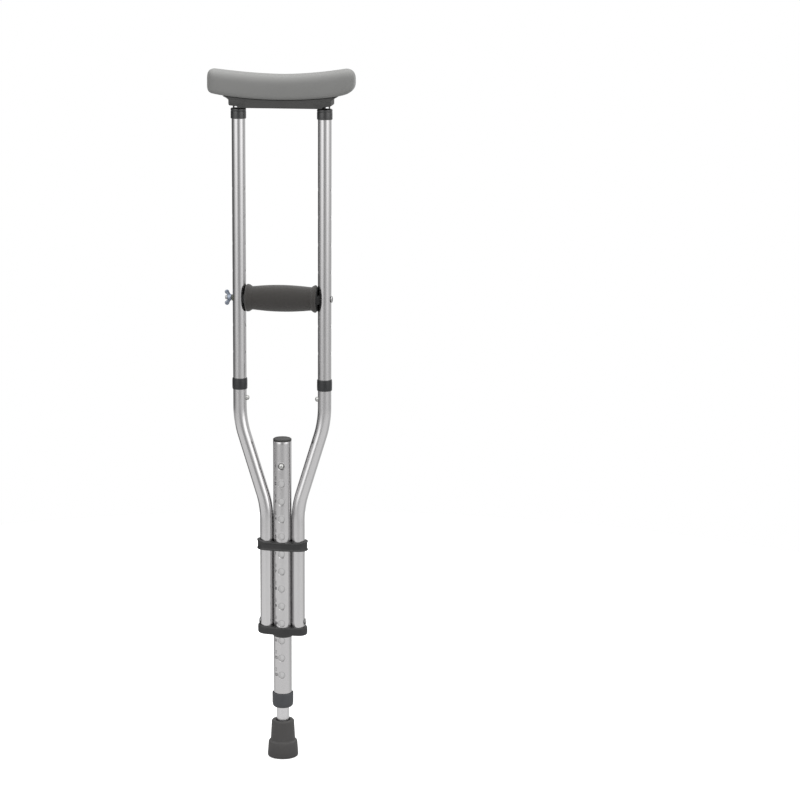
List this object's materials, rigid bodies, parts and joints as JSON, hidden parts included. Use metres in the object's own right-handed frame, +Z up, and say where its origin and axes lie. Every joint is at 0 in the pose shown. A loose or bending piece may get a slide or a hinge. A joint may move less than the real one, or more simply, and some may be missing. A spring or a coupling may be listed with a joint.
{
  "type": "underarm crutch",
  "caption": "Height-adjustable tubular underarm crutch with a padded saddle, movable handgrip, bent bows clamped to a telescoping leg and a rubber tip.",
  "frame": {"origin": "centre of the rubber tip's sole, on the floor", "axes": "+Z up along the leg tube; the crutch's plane is XZ, with the wing nut on the -X side; the height holes face -Y, the front"},
  "size_m": [0.2032, 0.048, 0.9816],
  "materials": {
    "anodised_aluminium": "satin anodised",
    "black_plastic": "moulded, fine texture",
    "saddle_plastic": "moulded, fine texture",
    "pad_foam": "matte moulded skin, fine grain",
    "grip_foam": "matte closed-cell foam",
    "tip_rubber": "matte rubber",
    "bright_steel": "bright zinc plated",
    "spring_steel": "plain spring steel"
  },
  "bodies": {
    "frame": {"underarm_pad": "pad_foam", "pad_saddle": "saddle_plastic", "upright_left": "anodised_aluminium", "upright_right": "anodised_aluminium", "top_collar_left": "black_plastic", "top_collar_right": "black_plastic", "mid_collar_left": "black_plastic", "mid_collar_right": "black_plastic", "bow_left": "anodised_aluminium", "bow_right": "anodised_aluminium", "rivet_left": "bright_steel", "rivet_right": "bright_steel", "upper_clamp": "black_plastic", "lower_yoke": "black_plastic", "leg_tube": "anodised_aluminium", "leg_cap": "black_plastic", "leg_bush": "black_plastic", "button_spring_left": "spring_steel", "button_spring_right": "spring_steel"},
    "handgrip": {"grip_sleeve": "grip_foam", "grip_core": "black_plastic", "grip_cup_left": "black_plastic", "grip_cup_right": "black_plastic", "grip_bolt": "bright_steel", "curved_washer": "black_plastic"},
    "wing_nut": {"wing_nut": "bright_steel"},
    "extension": {"extension_tube": "anodised_aluminium", "extension_guide": "black_plastic", "rubber_tip": "tip_rubber", "tip_washer": "bright_steel", "leg_button_spring": "spring_steel"},
    "leg_button": {"leg_button": "bright_steel"},
    "snap_left": {"snap_button_left": "bright_steel"},
    "snap_right": {"snap_button_right": "bright_steel"}
  },
  "joints": [
    {"name": "leg_extension", "type": "slide", "parent": "frame", "child": "extension", "axis": [0, 0, -1], "range_m": [0, 0.3048]},
    {"name": "leg_button_press", "type": "slide", "parent": "extension", "child": "leg_button", "axis": [0, 1, 0], "range_m": [0, 0.0045], "stiffness_N_per_m": 900, "deforming": ["leg_button_spring"]},
    {"name": "handgrip_height", "type": "slide", "parent": "frame", "child": "handgrip", "axis": [0, 0, 1], "range_m": [-0.0762, 0.1524]},
    {"name": "wing_nut_turn", "type": "hinge", "parent": "handgrip", "child": "wing_nut", "pos_m": [-0.0765, 0, 0.6644], "axis": [-1, 0, 0], "continuous": true},
    {"name": "snap_left_press", "type": "slide", "parent": "frame", "child": "snap_left", "axis": [-1, 0, 0], "range_m": [0, 0.0039], "stiffness_N_per_m": 900, "deforming": ["button_spring_left"]},
    {"name": "snap_right_press", "type": "slide", "parent": "frame", "child": "snap_right", "axis": [1, 0, 0], "range_m": [0, 0.0039], "stiffness_N_per_m": 900, "deforming": ["button_spring_right"]}
  ]
}
